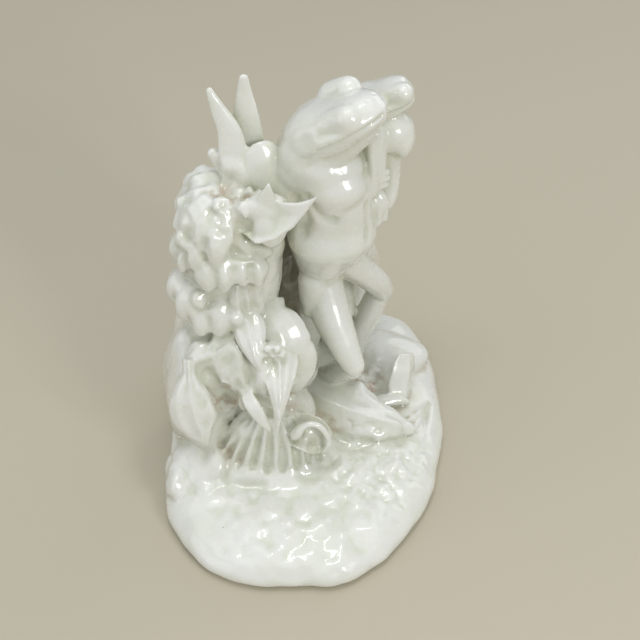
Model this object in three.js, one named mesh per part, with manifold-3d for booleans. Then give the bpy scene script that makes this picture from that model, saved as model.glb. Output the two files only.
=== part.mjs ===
import * as THREE from "three";
import { mergeVertices } from "three/addons/utils/BufferGeometryUtils.js";
import Module from "manifold-3d";

// one fired porcelain piece, in mm: two frogs and a leaf-grown rock column on an oval mound
// +Z up, the underside on Z = 0, the mound's narrow front end towards -Y
const moundHalfX = 53;
const moundHalfY = 70;
const moundMidY = -2;
const moundRise = 17;
const edgeRise = 6;
const columnMid = [-27, 5];
const columnFoot = 50;
const columnTop = 118;
const finest = 0.4;
const glazeWhite = 0xf1f2ec;

const wasm = await Module();
wasm.setup();
const { Vector3 } = THREE;
const vec = (p) => new Vector3(p[0], p[1], p[2]);
const wave = (x) => 0.5 - 0.5 * Math.cos(Math.PI * Math.min(1, Math.max(0, x)));

// a smooth curve through rows of numbers, at u counted in rows
function through(rows, u) {
  const last = rows.length - 1;
  const i = Math.min(last - 1, Math.floor(u));
  const t = u - i;
  const b = rows[i];
  const c = rows[i + 1];
  const a = rows[i - 1] ?? b.map((v, k) => 2 * v - c[k]);
  const d = rows[i + 2] ?? c.map((v, k) => 2 * v - b[k]);
  return b.map((v, k) => {
    const out = 0.5 * (c[k] - a[k]);
    const into = 0.5 * (d[k] - v);
    const rise = c[k] - v;
    return v + out * t + (3 * rise - 2 * out - into) * t * t + (out + into - 2 * rise) * t * t * t;
  });
}

// a closed body over rings of equal count, each end drawn to a tip
function skin(rings, tipA, tipB) {
  const n = rings[0].length;
  const spots = [...rings.flat(), tipA, tipB];
  const a = rings.length * n;
  const faces = [];
  for (let j = 0; j < n; j += 1) {
    const k = (j + 1) % n;
    for (let i = 0; i + 1 < rings.length; i += 1) {
      faces.push(i * n + j, i * n + k, i * n + n + j, i * n + k, i * n + n + k, i * n + n + j);
    }
    faces.push(a, k, j, a + 1, a - n + j, a - n + k);
  }
  const geometry = new THREE.BufferGeometry();
  geometry.setAttribute("position", new THREE.Float32BufferAttribute(spots.flatMap((p) => p.toArray()), 3));
  let volume = 0;
  for (let i = 0; i < faces.length; i += 3) {
    const [p, q, r] = faces.slice(i, i + 3).map((f) => spots[f]);
    volume += p.dot(q.clone().cross(r));
  }
  geometry.setIndex(volume < 0 ? faces.reverse() : faces);
  return geometry;
}

// a solid for joining, from any closed geometry
function solid(geometry) {
  const bare = geometry.clone();
  bare.deleteAttribute("normal");
  bare.deleteAttribute("uv");
  const clean = mergeVertices(bare, 1e-4);
  return new wasm.Manifold(new wasm.Mesh({
    numProp: 3,
    vertProperties: new Float32Array(clean.attributes.position.array),
    triVerts: new Uint32Array(clean.index.array),
  }));
}

// a rounded limb through rows of x, y, z, radius and optional flatness, its ends domed
function limb(rows, { sides = 8, per = 2, side = [0.2, -0.3, 0.93] } = {}) {
  const full = rows.map((r) => [r[0], r[1], r[2], r[3], r[4] ?? 1]);
  const count = (full.length - 1) * per;
  const dome = { reach: 0.95, mid: 0.75, shrink: 0.6 };
  const rings = [];
  const ends = [];
  const ring = (at, dir, push, shrink) => {
    const u = vec(side).addScaledVector(dir, -vec(side).dot(dir)).normalize();
    const w = dir.clone().cross(u);
    const mid = vec(at).addScaledVector(dir, push * at[3]);
    rings.push(Array.from({ length: sides }, (_, j) => {
      const turn = (2 * Math.PI * j) / sides;
      return mid.clone()
        .addScaledVector(u, Math.cos(turn) * at[3] * at[4] * shrink)
        .addScaledVector(w, Math.sin(turn) * at[3] * shrink);
    }));
  };
  for (let i = 0; i <= count; i += 1) {
    const u = i / per;
    const at = through(full, u);
    const ahead = through(full, Math.min(full.length - 1, u + 0.05));
    const back = through(full, Math.max(0, u - 0.05));
    const dir = vec(ahead).sub(vec(back)).normalize();
    if (i === 0) {
      ends.push(vec(at).addScaledVector(dir, -at[3] * dome.reach));
      ring(at, dir, -dome.mid, dome.shrink);
    }
    ring(at, dir, 0, 1);
    if (i === count) {
      ring(at, dir, dome.mid, dome.shrink);
      ends.push(vec(at).addScaledVector(dir, at[3] * dome.reach));
    }
  }
  return solid(skin(rings, ends[0], ends[1]));
}

// a blade from a foot over a bend to a tip: its breadth is widest at a share of its length, and its face is
// lifted by a cup, a midrib and sharp pleats
function leaf({ foot, bend, tip, face, wide, thick = 3, cup = 0, rib = 0, most = 0.45, blunt = 0.9,
  stem = 0.5, pleats = 0, pleatRise = 0, steps = 5, sides = 6 }) {
  const mid = bend ?? foot.map((v, k) => (v + tip[k]) / 2);
  const at = (t) => vec(foot).multiplyScalar((1 - t) ** 2)
    .addScaledVector(vec(mid), 2 * t * (1 - t)).addScaledVector(vec(tip), t * t);
  const power = Math.log(0.5) / Math.log(most);
  const lastRing = 0.93;
  const leastHalf = 0.25;
  const thinning = 0.5;
  const rings = [];
  for (let i = 0; i < steps; i += 1) {
    const t = (i / (steps - 1)) * (lastRing + 0.04 * (1 - blunt));
    const dir = at(Math.min(1, t + 0.02)).sub(at(Math.max(0, t - 0.02))).normalize();
    const up = vec(face).addScaledVector(dir, -vec(face).dot(dir)).normalize();
    const across = dir.clone().cross(up);
    const swell = Math.sin(Math.PI * t ** power) ** blunt;
    const half = (wide / 2) * Math.max(stem * (1 - t) ** 1.5, swell) + leastHalf;
    const body = (thick / 2) * (1 - thinning * t ** 3);
    const fade = Math.min(1, 4 * (1 - t));
    rings.push(Array.from({ length: sides }, (_, j) => {
      const turn = (2 * Math.PI * j) / sides;
      const s = Math.cos(turn);
      const pleated = pleatRise * (1 - Math.abs(Math.sin(0.5 * Math.PI * pleats * s)));
      const ridge = (rib * (1 - Math.abs(s)) + pleated) * fade;
      const lift = body * Math.sin(turn) + half * cup * s * s + ridge;
      return at(t).addScaledVector(across, half * s).addScaledVector(up, lift);
    }));
  }
  return solid(skin(rings, at(0), at(1)));
}

// an ellipsoid with a few broad swells, turned about Z
function boulder({ at, size, lump = 0.06, swells = 3, shift = 0, sides = 12, rows = 7 }) {
  const spot = (a, b) => {
    const swell = Math.sin(swells * a + 2 * b + shift) + 0.6 * Math.sin((swells + 2) * a - 3 * b + 2 * shift);
    const r = 1 + lump * swell;
    const [x, y, z] = [Math.cos(b) * Math.cos(a), Math.cos(b) * Math.sin(a), Math.sin(b)];
    return vec(at).add(new Vector3(size[0] * r * x, size[1] * r * y, size[2] * r * z));
  };
  const rings = [];
  for (let i = 1; i < rows; i += 1) {
    const b = -Math.PI / 2 + (Math.PI * i) / rows;
    rings.push(Array.from({ length: sides }, (_, j) => spot((2 * Math.PI * j) / sides, b)));
  }
  const pole = (s) => vec(at).add(new Vector3(0, 0, s * size[2]));
  return solid(skin(rings, pole(-1), pole(1)));
}

// a body stacked from rows of x, y, z and two half widths
function stack(rows, { sides = 14, per = 1, tip = 0.5 } = {}) {
  const count = (rows.length - 1) * per;
  const rings = [];
  for (let i = 0; i <= count; i += 1) {
    const [x, y, z, rx, ry] = through(rows, i / per);
    rings.push(Array.from({ length: sides }, (_, j) => {
      const turn = (2 * Math.PI * j) / sides;
      return new Vector3(x + rx * Math.cos(turn), y + ry * Math.sin(turn), z);
    }));
  }
  const end = (row, s) => new Vector3(row[0], row[1], row[2] + s * tip * row[3]);
  return solid(skin(rings, end(rows[0], -1), end(rows[rows.length - 1], 1)));
}

// the mound: an oval whose corners square off towards the back and the left, its edge rounded
function mound() {
  const sides = 36;
  const rim = (turn) => {
    const c = Math.cos(turn);
    const s = Math.sin(turn);
    const power = 2.35 + 1.7 * Math.max(0, s) - 0.4 * c * (s < 0 ? 1 : 0.3);
    const r = (Math.abs(c) ** power + Math.abs(s) ** power) ** (-1 / power);
    const ripple = 1 + 0.006 * Math.sin(9 * turn) + 0.005 * Math.sin(14 * turn + 1);
    const lean = s < 0 ? 4 * s : 3 * s;
    return [moundHalfX * r * c * ripple + lean, moundMidY + moundHalfY * r * s * ripple];
  };
  const profile = [[0.955, 0], [0.985, 1.2], [1, 3.2], [0.985, edgeRise], [0.93, 9], [0.84, 11.5],
    [0.68, 14], [0.45, 15.8], [0.2, 16.8]];
  const rings = profile.map(([scale, z]) => Array.from({ length: sides }, (_, j) => {
    const turn = (2 * Math.PI * j) / sides;
    const [x, y] = rim(turn);
    const back = 2.5 * wave((Math.sin(turn) + 0.1) * 1.4) * wave((z - 3) / 6);
    return new Vector3(x * scale, moundMidY + (y - moundMidY) * scale, z + back);
  }));
  return solid(skin(rings, new Vector3(0, moundMidY, 0), new Vector3(0, moundMidY, moundRise + 1)));
}

// the rock under the column: a left pillar, a hollow middle, a right block, a low front, the stump behind the
// frogs, a raised pad at the right, and a pleated skirt over the front foot
function rock() {
  const skirt = leaf({
    foot: [-8.5, -17, 36], bend: [-12, -30, 30.5], tip: [-15, -38.5, 9], face: [0, -0.75, 0.65], wide: 34,
    thick: 3.4, most: 0.75, blunt: 0.4, stem: 0.62, pleats: 7, pleatRise: 2.3, sides: 26, steps: 5,
  });
  return [
    boulder({ at: [-38.5, -2, 33], size: [16, 22, 33], shift: 0.4, sides: 16, rows: 9 }),
    boulder({ at: [-24, 11, 34], size: [17, 24, 33], shift: 1.7 }),
    boulder({ at: [-10, -7, 53], size: [14, 12.5, 19], lump: 0.08, shift: 2.6 }),
    boulder({ at: [-13, -10, 25], size: [15, 16, 20], shift: 0.9 }),
    boulder({ at: [-32, 26, 26], size: [20, 25, 33], shift: 3.3 }),
    boulder({ at: [-46, -26, 9], size: [8, 12, 9], shift: 0.7, sides: 10, rows: 6 }),
    boulder({ at: [-35, -33, 10], size: [8, 6, 5.5], shift: 0.2, sides: 10, rows: 6 }),
    boulder({ at: [-13.5, -19, 21], size: [18, 13.5, 18], lump: 0.04, shift: 2, sides: 10 }),
    boulder({ at: [-31, -9, 46], size: [13, 12, 22], shift: 1.1, sides: 10 }),
    boulder({ at: [-14, -16, 13], size: [26, 20, 11], lump: 0.04, shift: 0.3 }),
    boulder({ at: [-36, -20, 12], size: [15, 15, 12], lump: 0.05, shift: 2.2, sides: 10, rows: 6 }),
    boulder({ at: [31, 33, 13], size: [18, 14, 8], lump: 0.03, shift: 0.5, rows: 6 }),
    boulder({ at: [-9, 33, 28], size: [13, 14, 34], lump: 0.07, shift: 1.2, sides: 10, rows: 6 }),
    boulder({ at: [-7.5, 32, 70], size: [10.5, 12, 30], lump: 0.07, shift: 2.6, sides: 10, rows: 6 }),
    skirt,
  ];
}

// one rounded leaf hanging from the column at an angle in degrees, its tip at a height
function hung([degrees, low, wide, reach, long]) {
  const a = THREE.MathUtils.degToRad(degrees);
  const out = (r, h) => [columnMid[0] + r * Math.cos(a), columnMid[1] + r * Math.sin(a), low + h];
  return leaf({
    foot: out(reach * 0.5, long), bend: out(reach * 1.06, long * 0.8), tip: out(reach * 0.96, 0),
    face: [Math.cos(a), Math.sin(a), 0.35], wide, thick: 3.2, cup: -0.13, most: 0.7, blunt: 0.34, stem: 0.75,
  });
}

// the column: its core, the leaves hanging round it, folds in its bare front hollows, and its lumpy crown
function column() {
  const [x, y] = columnMid;
  const rise = columnTop - columnFoot;
  const core = stack([
    [x - 1, y, columnFoot, 16, 15], [x, y, columnFoot + 0.3 * rise, 16.5, 14.6],
    [x + 1, y, columnFoot + 0.6 * rise, 16.5, 14.2], [x, y, columnFoot + 0.85 * rise, 14.6, 12.6],
    [x - 2, y + 1, columnTop, 10, 9],
  ], { per: 2 });
  // angle in degrees, height of the tip, breadth, reach, length
  const front = [
    [-150, 96, 14, 20, 14], [-131, 98, 11, 19, 12], [-98, 101, 7.4, 19.5, 17], [-100, 91, 12.5, 21, 14],
    [-84, 94, 10, 20, 13], [-67, 92.5, 10.5, 20, 12], [-48, 90, 10, 19.5, 14], [-147, 76, 18, 22.5, 17],
    [-118, 69.5, 14, 21, 15], [-92, 72, 12, 20.5, 17], [-66, 80, 13, 18, 13], [-112, 108, 10, 17.5, 13],
  ];
  const behind = [66, 83, 99].flatMap((low, tier) => (
    Array.from({ length: 3 }, (_, i) => (
      [(tier % 2 ? 176 : 158) - 44 * i, low + 2 * Math.sin(3 * i + tier), 20, 19 - tier, 18 - 2 * tier]
    ))
  ));
  const folds = [
    [[-24.2, -6.2, 112, 2.6], [-20.4, -8, 104, 3], [-18, -7, 97, 2.6]],
    [[-20.5, -4.4, 111, 2.4], [-16, -6.4, 103, 2.8], [-14, -5, 96, 2.4]],
    [[-15, 4, 113, 5], [-14, 4, 98, 6.6], [-17, 4, 80, 6]],
  ];
  const crown = [
    { at: [-29, 3, 112], size: [15.5, 13, 12], lump: 0.07, shift: 0.6 },
    { at: [-23, -4, 116], size: [8, 6.5, 6.5], lump: 0.1, shift: 2.1, sides: 9, rows: 6 },
    { at: [-36, -3, 112], size: [6.5, 5.5, 6], lump: 0.1, shift: 1.2, sides: 9, rows: 6 },
    { at: [-30, -7, 112], size: [5.5, 4.5, 7], lump: 0.1, shift: 3.1, sides: 8, rows: 5 },
    { at: [-33, 9, 118], size: [8, 8, 6.5], lump: 0.1, shift: 0.2, sides: 9, rows: 6 },
    { at: [-12.5, -6, 119], size: [8, 4.5, 8], lump: 0.05, shift: 0.2, sides: 9, rows: 6 },
  ];
  return [core, ...[...front, ...behind].map(hung), ...folds.map((rows) => limb(rows, { sides: 6 })),
    ...crown.map(boulder)];
}

// the leaves that stand clear at the crown: two reeds and a stub, a domed leaf, a cupped, spiked leaf and its
// lobes
function crownLeaves() {
  const reeds = [
    [[-22.5, 4, 121, 2, 2.8], [-23.5, 7.3, 134, 1.8, 2.9], [-24.6, 8.6, 141, 1.6, 2.6],
      [-27.7, 10, 148, 1.4, 2], [-30.4, 11.7, 154.6, 1.1, 1.3]],
    [[-18, 9, 121, 2, 2.6], [-18.6, 12, 136, 1.8, 2.9], [-19.2, 13, 145, 1.6, 2.7],
      [-19.4, 14, 158.05, 1.2, 1.5]],
    [[-24.5, 6, 122, 2.4, 1.2], [-28.5, 7.5, 129, 1.9, 1.3], [-30.5, 8.5, 132.5, 1.7, 1.2]],
  ];
  const leaves = [
    {
      foot: [-13.5, 7, 112], bend: [-11.5, 2, 125], tip: [-15, 8, 137.5], face: [0.2, -1, 0.5], wide: 14,
      cup: -0.3, most: 0.62, blunt: 0.42, stem: 0.8,
    },
    {
      foot: [-22, -1, 117], bend: [-10, -10, 114], tip: [4.2, -12, 130], face: [0.1, -0.8, 0.6], wide: 17,
      cup: 0.3, most: 0.3, blunt: 1.3, stem: 0.9, steps: 7, sides: 8,
    },
    {
      foot: [-13, -8, 120], tip: [-11.4, -8, 132.4], face: [0.1, -1, 0.4], wide: 7, most: 0.3, blunt: 1.1,
      stem: 1,
    },
    {
      foot: [-13.5, -6, 121], bend: [-12, -12, 115], tip: [-10.5, -8, 107], face: [0.1, -1, 0.3], wide: 13,
      thick: 6, cup: -0.2, most: 0.5, blunt: 0.5, stem: 0.9,
    },
    {
      foot: [-33, 0, 117], bend: [-40, -3, 116], tip: [-44, -3, 110], face: [-0.4, -0.6, 0.7], wide: 9,
      thick: 3.4, cup: -0.2, most: 0.5, blunt: 0.8, stem: 0.9,
    },
  ];
  return [...reeds.map((rows) => limb(rows, { sides: 8, per: 1, side: [1, 0.1, 0] })), ...leaves.map(leaf)];
}

// leaves draped over the rock: a lance leaf on a neck, a drooping bowl, two pointed leaves and a long tongue
// with a curled strip, and the ring of a bud
function drapedLeaves() {
  const drape = { face: [0, -1, 0.4], cup: -0.16 };
  const leaves = [
    {
      ...drape, foot: [-41, -17, 62], bend: [-42, -30, 52], tip: [-35.9, -31, 31.5], wide: 18, most: 0.58,
      stem: 0.22, blunt: 1.1, rib: 1.4, steps: 6,
    },
    {
      foot: [-28, -9, 74], bend: [-31, -26, 66], tip: [-28.5, -25, 44], face: [-0.45, -0.85, 0.4], wide: 15,
      most: 0.5, blunt: 0.6, stem: 0.6, cup: 0.3, sides: 8,
    },
    {
      ...drape, foot: [-20.5, -9, 78], bend: [-19, -23, 74], tip: [-14.6, -24.5, 60.5], wide: 11.5,
      most: 0.35, stem: 0.8, blunt: 0.8, rib: 1,
    },
    {
      ...drape, foot: [-10, -14, 63], bend: [-7.5, -33, 63], tip: [-10.6, -36.5, 41.5], face: [0.1, -1, 0.3],
      wide: 13.5, rib: 1.8, most: 0.3, stem: 0.8, steps: 7, sides: 8,
    },
    {
      foot: [-15, -4, 75], bend: [-7, -19, 72], tip: [-3, -17, 50], face: [0.3, -0.8, 0.5], wide: 20,
      most: 0.45, blunt: 0.5, stem: 0.8, pleats: 3, pleatRise: 1, sides: 12,
    },
    {
      foot: [-22.5, -11, 57], tip: [-22.3, -27, 45.5], face: [0, -1, 0.6], wide: 5, thick: 2.6, blunt: 0.25,
      stem: 1, steps: 3,
    },
    {
      foot: [-23, -13, 57], bend: [-19, -34, 59], tip: [-12.4, -35.8, 43.5], face: [-0.3, -0.8, 0.5], wide: 7,
      thick: 2.4, most: 0.5, blunt: 0.6, stem: 0.6, cup: 0.3,
    },
  ];
  const bud = Array.from({ length: 9 }, (_, i) => {
    const a = (2 * Math.PI * i) / 8;
    return [-10 + 3.5 * Math.cos(a), -22.5 - 1.5 * Math.sin(a), 69.5 + 2.8 * Math.sin(a), 1.3];
  });
  return [...leaves.map(leaf), limb(bud, { sides: 5, per: 1, side: [0, -1, 0.3] })];
}

// leaves lying or standing on the mound, and the pebbles between them
function groundLeaves() {
  const lying = { face: [0, -0.4, 1], thick: 2.6 };
  const leaves = [
    {
      foot: [-7, 12, 21], bend: [12, -14, 30], tip: [42, -8, 14.5], face: [-0.2, -0.5, 0.85], wide: 25,
      thick: 3.4, rib: 2.4, cup: -0.26, most: 0.42, blunt: 0.75, steps: 8, sides: 8,
    },
    { ...lying, foot: [2, 10, 22], bend: [13, 6, 28], tip: [24.5, 1.5, 21], wide: 6, rib: 0.8 },
    { ...lying, foot: [22, 1, 17], bend: [31, 5, 20.5], tip: [40, 4.5, 16.5], wide: 5.5 },
    {
      foot: [34.5, 5, 12], bend: [36, 12, 20], tip: [39, 18, 31], face: [0.75, -0.7, 0.3], wide: 11.5,
      rib: 2.4, most: 0.6, blunt: 0.18, stem: 0.95,
    },
    {
      foot: [-2, -4, 18], tip: [-1.5, -6, 38], face: [0.3, -1, 0.2], wide: 5.5, blunt: 0.6, stem: 0.8,
      steps: 4,
    },
    {
      foot: [-6, -17, 26], bend: [-0.5, -25.5, 38.5], tip: [9, -22.5, 24], face: [0.2, -0.75, 0.65],
      wide: 12.5, cup: 0.42, most: 0.55, blunt: 0.5, steps: 6, sides: 8,
    },
  ];
  const pebbles = [[14, 14, 18, 4.5], [19, 17, 16, 4], [23, 12, 16, 3.4], [26, 20, 16, 3.6],
    [20, 8, 16, 3.2]];
  return [...leaves.map(leaf), ...pebbles.map(([x, y, z, r]) => (
    boulder({ at: [x, y, z], size: [r, r, r], lump: 0.05, sides: 7, rows: 4 })
  ))];
}

// a foot: three toes spread from the ankle with a web over them
function foot(ankle, heading, reach, spread) {
  const toe = (turn, r) => {
    const c = Math.cos(heading + turn);
    const s = Math.sin(heading + turn);
    return [ankle[0] + reach * c, ankle[1] + reach * s, ankle[2] - 4, r];
  };
  const toes = [-spread, 0, spread].map((turn) => (
    limb([[...ankle, 3], toe(turn, 1.9)], { sides: 6, per: 1 })
  ));
  const end = toe(0, 0);
  return [...toes, leaf({
    foot: ankle, tip: end.slice(0, 3), face: [0, 0, 1], wide: 2 * reach * Math.sin(spread),
    most: 0.75, blunt: 0.5, stem: 0.3, steps: 4,
  })];
}

// along the head, half breadth, height above the mouth, depth of the jaw: all but the first as shares
const skull = [[-0.12, 0.62, 0.6, 0.8], [0, 0.85, 0.88, 1], [0.18, 0.98, 1, 1], [0.38, 1, 0.98, 0.92],
  [0.58, 0.93, 0.9, 0.8], [0.76, 0.8, 0.82, 0.6], [0.9, 0.58, 0.68, 0.42], [1, 0.24, 0.42, 0.18]];
const bluntSkull = [...skull.slice(0, 5), [0.76, 0.82, 0.92, 0.6], [0.9, 0.66, 0.9, 0.5],
  [1.02, 0.36, 0.74, 0.3]];

// a wide, blunt wedge of a head along its own axis: a rounded box above the mouth line, a shallower and
// narrower half oval below it, so the lip overhangs the jaw, and a short broad bar for each eye
function head({ back, snout, top, broad, tall, deep, stations, eyes }) {
  const ledge = 0.1;
  const boxed = 0.8;
  const ahead = vec(snout).sub(vec(back));
  const long = ahead.length();
  const dir = ahead.normalize();
  const up = vec(top).addScaledVector(dir, -vec(top).dot(dir)).normalize();
  const across = dir.clone().cross(up);
  const spot = (f, s, h) => vec(back).addScaledVector(dir, f * long)
    .addScaledVector(across, s).addScaledVector(up, h);
  const sides = 14;
  const rings = stations.map(([f, b, t, d]) => Array.from({ length: sides }, (_, j) => {
    const turn = (2 * Math.PI * (j + 0.5)) / sides;
    const c = Math.cos(turn);
    const h = Math.sin(turn);
    const side = Math.sign(c) * Math.abs(c) ** boxed * b * broad;
    return h > 0 ? spot(f, side, h ** boxed * tall * t) : spot(f, side * (1 - ledge), h * deep * d);
  }));
  return [
    solid(skin(rings, spot(stations[0][0] - 0.06, 0, 0), spot(stations.at(-1)[0] + 0.02, 0, 0.5))),
    ...eyes.map(([f, s, h, r, half]) => limb([
      [...spot(f - half, s, h).toArray(), r], [...spot(f + half, s, h).toArray(), 0.96 * r],
    ], { sides: 10, per: 1 })),
  ];
}

// a frog from its pose: a stacked trunk, a head, swellings of its body, limbs and feet
function frog({ trunk, face, swellings, limbs, fingers, feet }) {
  return [
    stack(trunk),
    ...head(face),
    ...swellings.map(([at, size]) => boulder({ at, size, lump: 0, sides: 10, rows: 6 })),
    ...limbs.map((rows) => limb(rows, { sides: 9 })),
    ...fingers.map((rows) => limb(rows, { sides: 5, per: 1 })),
    ...feet.flatMap((f) => foot(...f)),
  ];
}

const frogFront = {
  trunk: [[6, 13, 70, 7, 7.5], [5.6, 12, 79, 8, 8.6], [6.6, 11, 85, 10.5, 10.5], [8.2, 10, 91, 13.4, 12.5],
    [9, 9, 98, 15.6, 14], [9.5, 10, 106, 15, 12.5], [8.5, 9.5, 114, 14.5, 12.5], [8, 10, 122, 14.5, 13],
    [6, 11, 131, 12.5, 13], [5, 12, 138, 11, 11]],
  face: {
    back: [1.2, 13.6, 134], snout: [25, 2, 152.5], top: [-0.52, 0.25, 0.82], broad: 13.8, tall: 11.5, deep: 7,
    stations: skull, eyes: [[0.6, -6.6, 6.6, 6.4, 0.15], [0.56, 7.2, 4.6, 5.2, 0.1]],
  },
  swellings: [[[9.5, 5, 121.5], [11.5, 9.3, 9]], [[-2.6, 8.5, 126], [7.5, 8, 9]], [[7, 8, 128], [13, 10, 9]]],
  limbs: [
    [[-3, 9, 128, 6], [-7, 6, 118, 5.2], [-10, 3, 110, 4.4], [-15, 0, 105, 3.6]],
    [[17, 12, 124, 5.5], [24, 15, 117, 4.2], [27, 20, 113, 3.2]],
    [[4.5, 11.5, 80, 7.4], [9.2, 3, 66, 7.6], [14.5, -4, 56, 6.4], [17.6, -8, 50, 4.8]],
    [[17, -6, 47, 4.4], [10, 6, 32, 4.2], [5, 15, 21, 3.6]],
    [[12, 13, 84, 6.5], [20, 17, 74, 5.6], [26, 21, 65, 4.9], [28.6, 24, 58.5, 4.4]],
    [[27.6, 25, 57, 4.8], [24, 25, 46, 4.9], [20, 24, 35, 4.4], [18, 24, 24, 4]],
    [[0.4, 7, 76, 4.6], [-2.2, 5.5, 66, 2]],
    [[3, 14.5, 139, 8], [-0.5, 13, 132, 8.6], [-2.5, 11, 125, 8]],
    [[5, 10, 133, 10], [12, 8.5, 139, 8.4], [18.5, 6.5, 145, 6], [22.5, 4.5, 149.5, 3.6]],
  ],
  fingers: [],
  feet: [[[4, 15, 20], -0.7, 15, 0.45]],
};

const frogBack = {
  trunk: [[13, 36, 62, 9, 9], [13, 35, 72, 11, 11], [14, 33, 84, 12.5, 12.5], [15, 30, 97, 12.5, 12],
    [18, 28, 109, 11.5, 11], [22, 27, 120, 10, 10], [25, 26, 130, 9.5, 9.5], [26, 26, 137, 8, 9]],
  face: {
    back: [13, 27.5, 133.5], snout: [35.6, 21.5, 142.5], top: [-0.25, 0.15, 1], broad: 11.5, tall: 8.6,
    deep: 6, stations: bluntSkull, eyes: [[0.66, -4.6, 3.2, 4.6, 0.14], [0.72, 4.6, 3, 4.4, 0.14]],
  },
  swellings: [[[28.5, 19.5, 134], [8, 8, 8]], [[32.2, 17.5, 131.5], [4.6, 5, 6.6]],
    [[25, 9.5, 110.5], [3.6, 3.4, 5.6]], [[24, 9, 137], [2.2, 2.2, 2.6]]],
  limbs: [
    [[27, 20, 126, 5.4], [28, 18, 117, 4.6], [27, 14, 109, 4.2], [24, 10, 108, 3]],
    [[12, 34, 120, 5.5], [2, 28, 110, 4.5], [-4, 18, 112, 3.4]],
    [[10, 34, 68, 7.5], [12, 30, 58, 6.5], [14, 25, 48, 5]],
    [[14, 26, 48, 4.6], [12, 34, 34, 4.2], [8, 42, 22, 3.6]],
    [[17, 36, 68, 7.5], [21, 44, 60, 6.5], [24, 51, 50, 5]],
    [[24, 51, 48, 4.6], [20, 50, 34, 4.2], [17, 51, 22, 3.6]],
  ],
  fingers: [
    [[21.5, 8, 137, 1.6], [22.4, 6.8, 128, 1.5], [23, 7, 117, 1.5]],
    [[23, 7, 113, 1.3], [22.6, 6.6, 105, 1.2]], [[27.4, 8.6, 112, 1.3], [27.4, 8.2, 105, 1.2]],
  ],
  feet: [[[6.5, 43, 19.5], 2.1, 14, 0.45], [[17, 51, 19], 0.9, 12, 0.45]],
};

// everything is fired as one body, cut flat where it stands
const pieces = [
  mound(), ...rock(), ...column(), ...crownLeaves(), ...drapedLeaves(), ...groundLeaves(),
  ...frog(frogFront), ...frog(frogBack),
];
const cut = { across: 300, deep: 60 };
const under = new THREE.BoxGeometry(cut.across, cut.across, cut.deep);
under.translate(0, 0, -cut.deep / 2);
const joined = pieces.reduce((sum, piece) => sum.add(piece));
const whole = joined.subtract(solid(under)).asOriginal().simplify(finest);

const mesh = whole.getMesh();
const geometry = new THREE.BufferGeometry();
geometry.setAttribute("position", new THREE.Float32BufferAttribute(mesh.vertProperties, 3));
geometry.setIndex(Array.from(mesh.triVerts));
geometry.computeVertexNormals();

const glaze = new THREE.MeshStandardMaterial({ color: glazeWhite, roughness: 0.12 });
const figures = new THREE.Mesh(geometry, glaze);
figures.name = "figure_group";
const group = new THREE.Group();
group.name = "porcelain_frog_group";
group.add(figures);

export default group;
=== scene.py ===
import math

import bpy
import numpy as np
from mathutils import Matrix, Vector


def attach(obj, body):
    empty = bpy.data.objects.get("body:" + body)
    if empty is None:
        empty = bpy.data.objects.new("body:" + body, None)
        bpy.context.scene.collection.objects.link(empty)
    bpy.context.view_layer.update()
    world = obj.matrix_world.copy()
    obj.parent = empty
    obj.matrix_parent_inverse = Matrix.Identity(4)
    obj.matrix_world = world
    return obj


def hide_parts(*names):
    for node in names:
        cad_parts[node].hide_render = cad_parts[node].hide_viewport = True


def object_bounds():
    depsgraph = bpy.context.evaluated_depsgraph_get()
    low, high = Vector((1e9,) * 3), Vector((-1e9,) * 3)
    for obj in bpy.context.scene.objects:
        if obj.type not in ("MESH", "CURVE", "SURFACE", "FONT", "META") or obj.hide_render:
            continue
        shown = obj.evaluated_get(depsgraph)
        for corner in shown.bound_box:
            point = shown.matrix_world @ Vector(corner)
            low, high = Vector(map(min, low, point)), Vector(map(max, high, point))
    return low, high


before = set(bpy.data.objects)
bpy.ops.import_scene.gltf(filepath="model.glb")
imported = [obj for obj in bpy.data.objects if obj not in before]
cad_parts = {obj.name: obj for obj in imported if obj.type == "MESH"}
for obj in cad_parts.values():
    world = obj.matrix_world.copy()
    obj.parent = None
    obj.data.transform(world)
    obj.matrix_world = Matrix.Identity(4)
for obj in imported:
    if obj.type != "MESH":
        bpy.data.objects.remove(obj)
cadLow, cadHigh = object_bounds()

# lengths below are in millimetres of the group as made, 159 tall; the frame gives their size in metres
madeHeight = 159.0
unit = (cadHigh.z - cadLow.z) / madeHeight

# camera, air and floor; the clip range and the floor's sizes are in metres
look = {
    "target": (5, 0, 65), "tilt": 43, "away": 450, "lens": 70, "sensor": 36, "sees": (0.01, 20),
    "lampTarget": (0, 0, 75), "skyTone": (0.93, 0.95, 1.0), "skyPower": 0.42,
    "floorTone": (0.54, 0.5, 0.385), "floorRough": 0.6, "floorHalf": 4.0, "floorDrop": 0.0001,
}
# name, direction from the group, distance, width, height, watts, tone
lamps = [
    ("windowLeftPane", (0.50, -0.74, 0.47), 900, 95, 230, 1.1, (1.0, 0.99, 0.97)),
    ("windowRightPane", (0.62, -0.64, 0.47), 900, 95, 230, 1.1, (1.0, 0.99, 0.97)),
    ("topSoft", (-0.12, -0.08, 1.0), 900, 1500, 1300, 3.35, (1.0, 1.0, 0.99)),
    ("ceilingPaneA", (-0.16, -0.12, 0.97), 1000, 60, 260, 0.5, (1.0, 1.0, 1.0)),
    ("ceilingPaneB", (-0.06, -0.12, 0.97), 1000, 60, 260, 0.5, (1.0, 1.0, 1.0)),
    ("ceilingPaneC", (0.12, 0.1, 0.97), 1000, 70, 200, 0.5, (1.0, 1.0, 1.0)),
    ("leftFill", (-0.9, -0.4, 0.35), 1100, 900, 700, 1.55, (0.97, 0.985, 1.0)),
    ("rimBack", (0.6, 0.7, 0.45), 1100, 900, 500, 1.3, (1.0, 1.0, 1.0)),
]


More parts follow.
